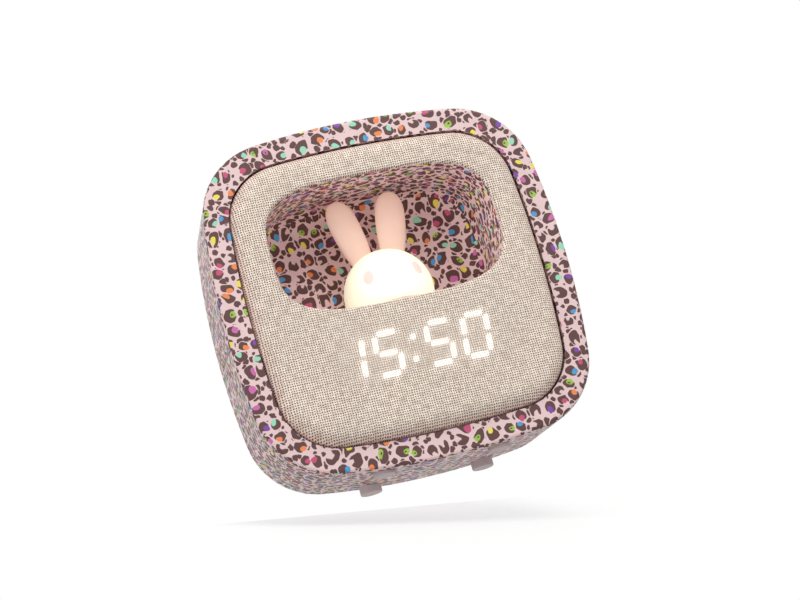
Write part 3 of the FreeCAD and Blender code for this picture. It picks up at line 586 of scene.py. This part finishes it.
def make_cloth():
    mesh = bmesh.new()
    rows = []
    for ring in cloth_rings():
        rows.append([mesh.verts.new((x * MM, RIM_Y + d * MM, MID_Z + z * MM)) for x, d, z in ring])
    for first, second in zip(rows, rows[1:]):
        for i in range(len(first)):
            j = (i + 1) % len(first)
            mesh.faces.new((first[i], first[j], second[j], second[i]))
    bmesh.ops.recalc_face_normals(mesh, faces=mesh.faces)
    data = bpy.data.meshes.new("cloth")
    mesh.to_mesh(data)
    mesh.free()
    data.polygons.foreach_set("use_smooth", [True] * len(data.polygons))
    cloth = bpy.data.objects.new("cloth_front", data)
    scene.collection.objects.link(cloth)
    data.materials.append(cloth_material())
    return cloth


def slack(cloth):
    """Lets the stretched cloth dip and rise a little between its edges, as woven cloth does."""
    for v in cloth.data.vertices:
        x = v.co.x / MM
        z = (v.co.z - MID_Z) / MM
        face = max(0.0, 1.0 - abs((v.co.y - RIM_Y) / MM - CLOTH_TOP) / 2.0)
        wave = math.sin(x * 0.11 + 0.7) * math.cos(z * 0.083 - 0.4)
        wave += 0.6 * math.sin(x * 0.05 - z * 0.14 + 1.9)
        v.co.y += (SLACK_WAVE * wave + SLACK_RISE) * face * MM


def ring_area(places, grown):
    """The area inside a closed run of places, each moved along its outward direction."""
    ring = [(p[0] + n[0] * grown, p[1] + n[1] * grown) for p, n in places]
    return 0.5 * sum(a[0] * b[1] - b[0] * a[1] for a, b in zip(ring, ring[1:] + ring[:1]))


def flat_area():
    """The area of the cut cloth laid flat: the outline with its hem opened out, less the recess."""
    bend = math.pi / 2.0 - 1.0
    hem = CLOTH_ROUND * bend + CLOTH_BACK - CLOTH_TOP - CLOTH_ROUND
    lip = LIP_ROUND * bend + LIP_BACK - CLOTH_TOP - LIP_ROUND
    whole = ring_area([outline(a) for a in round_angles()], hem)
    return (whole - ring_area([recess(a) for a in round_angles()], -lip)) * MM**2


cloth = make_cloth()
slack(cloth)
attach(cloth, "casing")
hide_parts("fabric_cover")
flat_area()


# Bunny


def glow_material():
    """Frosted ivory shell lit from inside, brightest low down where the lamp is."""
    made, tree, shader, place = material("bunny_glow")
    _, _, z = split(tree, place)
    cloud = noise(tree, place, 0.09, 2.0) * 0.05 + 0.975
    plug(tree, shade(tree, (0.97, 0.92, 0.72), cloud), shader.inputs["Base Color"])
    grain = noise(tree, place, 4.0, 2.0)
    plug(tree, grain * 0.08 + 0.46, shader.inputs["Roughness"])
    plug(tree, bump(tree, grain, 0.00004, 0.25), shader.inputs["Normal"])
    lamp = z.ramp(22.0, -7.0)
    plug(tree, lamp * 0.18 + 0.20, shader.inputs["Emission Strength"])
    shader.inputs["Emission Color"].default_value = (1.0, 0.97, 0.74, 1.0)
    shader.inputs["Subsurface Weight"].default_value = 0.25
    shader.inputs["Subsurface Radius"].default_value = (1.0, 0.7, 0.45)
    shader.inputs["Subsurface Scale"].default_value = 0.004
    return made


def ear_material():
    """Soft peach pink with a painted glow, strongest near the head, standing in for the lamp's light and for
    light that the shaded recess holds back.
    """
    made, tree, shader, place = material("ear_soft")
    _, _, z = split(tree, place)
    low = z.ramp(40.0, 18.0)
    colour = mix(tree, low, (0.88, 0.60, 0.49), (0.87, 0.61, 0.50))
    plug(tree, shade(tree, colour, noise(tree, place, 0.2, 3.0) * 0.07 + 0.965), shader.inputs["Base Color"])
    grain = noise(tree, place, 5.0, 2.0)
    plug(tree, grain * 0.1 + 0.5, shader.inputs["Roughness"])
    plug(tree, bump(tree, grain, 0.00004, 0.3), shader.inputs["Normal"])
    # Painted glow: the ears are no lamp; this stands in for the head lamp's light and for fill light in the
    # recess
    plug(tree, low.inverse() * 0.16 + 0.04, shader.inputs["Emission Strength"])
    shader.inputs["Emission Color"].default_value = (1.0, 0.66, 0.5, 1.0)
    shader.inputs["Subsurface Weight"].default_value = 0.2
    shader.inputs["Subsurface Scale"].default_value = 0.003
    return made


def plain(name, colour, roughness, metallic=0.0, scale=0.5, relief=0.00004, glow=0.0):
    """A moulded, plated or rubber finish: a slow drift in colour, fine grain, and roughness that varies."""
    made, tree, shader, place = material(name)
    drift = noise(tree, place, scale * 0.2, 3.0) * 0.1 + 0.95
    plug(tree, shade(tree, colour, drift), shader.inputs["Base Color"])
    grain = noise(tree, place, scale * 8.0, 3.0, 0.6)
    plug(tree, grain * 0.16 + (roughness - 0.08), shader.inputs["Roughness"])
    plug(tree, bump(tree, grain, relief, 0.4), shader.inputs["Normal"])
    shader.inputs["Metallic"].default_value = metallic
    if glow:
        plug(tree, drift * glow, shader.inputs["Emission Strength"])
        shader.inputs["Emission Color"].default_value = (*colour, 1.0)
    return made


paint("rabbit_head", glow_material())
ear = ear_material()
eye = plain("eye_inlay", (0.80, 0.655, 0.59), 0.5, glow=0.14)
for side in ("left", "right"):
    paint("ear_" + side, ear)
    paint("eye_" + side, eye)

FINISHES = {
    plain("pad_rubber", (0.52, 0.42, 0.42), 0.75, relief=0.00008): (
        "foot_front_left",
        "foot_front_right",
        "foot_back_left",
        "foot_back_right",
    ),
    plain("pink_moulding", (0.72, 0.50, 0.525), 0.55, relief=0.0001, scale=0.8): ("rear_cover",),
    plain("key_cap", (0.82, 0.62, 0.63), 0.4): (
        "key_alarm",
        "key_mode",
        "key_down",
        "key_up",
        "power_slider",
    ),
    plain("hidden_moulding", (0.30, 0.235, 0.215), 0.7): ("fascia_panel", "display_reflector"),
    plain("dark_moulding", (0.035, 0.035, 0.04), 0.55): (
        "battery_holder",
        "slide_switch",
        "tact_switches",
        "speaker_basket",
        "hall_sensor",
        "speaker_cone",
    ),
    plain("bright_steel", (0.62, 0.62, 0.63), 0.32, metallic=1.0, scale=1.5, relief=0.00002): (
        "rear_screw_low_left",
        "rear_screw_low_right",
        "rear_screw_top_left",
        "rear_screw_top_right",
        "board_screws",
        "lamp_screws",
        "usb_socket",
        "retaining_ring",
    ),
    plain("board_green", (0.02, 0.09, 0.045), 0.45): ("main_board", "display_board"),
    plain("board_white", (0.8, 0.8, 0.77), 0.5): ("lamp_board",),
    plain("silicone", (0.72, 0.72, 0.7), 0.6): ("press_spring",),
    plain("ferrite", (0.045, 0.045, 0.05), 0.5, metallic=0.6): ("speaker_magnet",),
    plain("cell_sleeve", (0.045, 0.12, 0.32), 0.3): ("battery_cell",),
    plain("flat_lead", (0.62, 0.62, 0.6), 0.5): ("display_ribbon", "lamp_lead"),
    plain("red_lead", (0.42, 0.02, 0.02), 0.5): ("battery_lead", "speaker_lead"),
    plain("clear_guide", (0.9, 0.9, 0.88), 0.25, glow=0.5): (
        "light_pipe",
        "lamp_led",
        "display_leds",
        "digit_hours_tens",
        "digit_hours_ones",
        "digit_minutes_tens",
        "digit_minutes_ones",
        "colon_dots",
    ),
}
for made, names in FINISHES.items():
    for node in names:
        paint(node, made)


# Floor, lamps, world and camera


def floor_material(name, low_glow, catch, centre, reach, top):
    """White ground that keeps the object's shadow, is seen from its upper side only and lights nothing.

    It fades out at its reach from the centre and ends at the height called top.
    """
    made = bpy.data.materials.new(name)
    made.use_nodes = True
    tree = made.node_tree
    tree.nodes.remove(tree.nodes["Principled BSDF"])
    seen = Num(tree, tree.nodes.new("ShaderNodeLightPath").outputs["Is Camera Ray"])
    geometry = tree.nodes.new("ShaderNodeNewGeometry")
    shown = seen * Num(tree, geometry.outputs["Backfacing"]).inverse()
    height = split(tree, geometry.outputs["Position"])[2]
    away = add(tree, "VectorMath", {"operation": "DISTANCE"})
    plug(tree, geometry.outputs["Position"], away.inputs[0])
    away.inputs[1].default_value = centre
    fade = Num(tree, away.outputs["Value"]).ramp(reach * 0.25, reach).inverse()
    shown = shown * height.below(top) * fade
    matte = add(tree, "BsdfDiffuse", Color=(catch, catch, catch)).outputs[0]
    lift = add(tree, "Emission", Color=(1.0, 1.0, 1.0), Strength=low_glow).outputs[0]
    both = tree.nodes.new("ShaderNodeAddShader")
    tree.links.new(matte, both.inputs[0])
    tree.links.new(lift, both.inputs[1])
    clear = tree.nodes.new("ShaderNodeBsdfTransparent").outputs[0]
    out = tree.nodes.new("ShaderNodeMixShader")
    plug(tree, shown, out.inputs[0])
    tree.links.new(clear, out.inputs[1])
    tree.links.new(both.outputs[0], out.inputs[2])
    tree.links.new(out.outputs[0], tree.nodes["Material Output"].inputs["Surface"])
    return made


def sheet_of_floor(name, corners, made):
    data = bpy.data.meshes.new(name)
    data.from_pydata(corners, [], [range(len(corners))])
    data.materials.append(made)
    floor = bpy.data.objects.new(name, data)
    scene.collection.objects.link(floor)


# The photograph's camera, fitted to the clock's outlines
RIGHT = Vector((0.9466, -0.1846, -0.2643))
UP = Vector((0.2006, -0.3043, 0.9312))
AHEAD = Vector((0.2524, 0.9345, 0.2510))
EYE = Vector((-0.2423, -0.9178, -0.1735))

SQUARE = ((-1, -1), (1, -1), (1, 1), (-1, 1))
ground = [(sx * GROUND_HALF, sy * GROUND_HALF, 0.0) for sx, sy in SQUARE]
made = floor_material("ground_white", 0.55, 0.45, (0.0, 0.0, 0.0), GROUND_REACH, MM)
sheet_of_floor("ground", ground, made)

# The photograph's own ground is level with its frame, so a small piece of it lies under the tilted clock.
level = Vector(PIVOT) - UP * PATCH_DROP
flat = (AHEAD - UP * AHEAD.dot(UP)).normalized()
patch = [level + RIGHT * sx * PATCH_WIDE + flat * sy * PATCH_DEEP for sx, sy in SQUARE]
made = floor_material("photo_white", 0.68, 0.26, level, PATCH_REACH, PATCH_TOP)
sheet_of_floor("photo_ground", patch, made)


def area_lamp(name, place, target, width, power, colour):
    data = bpy.data.lights.new(name, "AREA")
    data.shape = "SQUARE"
    data.size = width
    data.energy = power
    data.color = colour
    lamp = bpy.data.objects.new(name, data)
    lamp.location = place
    lamp.rotation_mode = "QUATERNION"
    lamp.rotation_quaternion = (Vector(target) - Vector(place)).to_track_quat("-Z", "Y")
    scene.collection.objects.link(lamp)


MIDDLE = (0.0, 0.0, 0.07)
area_lamp("key", (0.35, -0.75, 0.95), MIDDLE, 0.7, 9.0, (1.0, 0.99, 0.97))
area_lamp("fill", (-0.9, -0.55, 0.35), MIDDLE, 0.8, 4.0, (1.0, 0.99, 1.0))
area_lamp("back", (0.2, 0.9, 0.8), MIDDLE, 0.8, 5.0, (1.0, 1.0, 1.0))

world = bpy.data.worlds.new("studio")
scene.world = world
world.use_nodes = True
tree = world.node_tree
path = tree.nodes.new("ShaderNodeLightPath")
white = Num(tree, path.outputs["Is Camera Ray"])
for ray in ("Is Glossy Ray", "Is Transmission Ray"):
    white = white.most(Num(tree, path.outputs[ray]))
soft = tree.nodes["Background"]
soft.inputs["Color"].default_value = (1.0, 1.0, 1.0, 1.0)
soft.inputs["Strength"].default_value = AMBIENT
bright = tree.nodes.new("ShaderNodeBackground")
bright.inputs["Color"].default_value = (1.0, 1.0, 1.0, 1.0)
bright.inputs["Strength"].default_value = 1.0
both = tree.nodes.new("ShaderNodeMixShader")
plug(tree, white, both.inputs[0])
tree.links.new(soft.outputs[0], both.inputs[1])
tree.links.new(bright.outputs[0], both.inputs[2])
tree.links.new(both.outputs[0], tree.nodes["World Output"].inputs["Surface"])

data = bpy.data.cameras.new("photo")
data.sensor_width = 36.0
data.lens = 108.0
data.clip_start = 0.05
data.clip_end = 20.0
camera = bpy.data.objects.new("photo", data)
scene.collection.objects.link(camera)
camera.matrix_world = Matrix((
    (RIGHT.x, UP.x, -AHEAD.x, EYE.x),
    (RIGHT.y, UP.y, -AHEAD.y, EYE.y),
    (RIGHT.z, UP.z, -AHEAD.z, EYE.z),
    (0.0, 0.0, 0.0, 1.0),
))
scene.camera = camera

scene.view_settings.view_transform = "Standard"

bpy.context.view_layer.update()
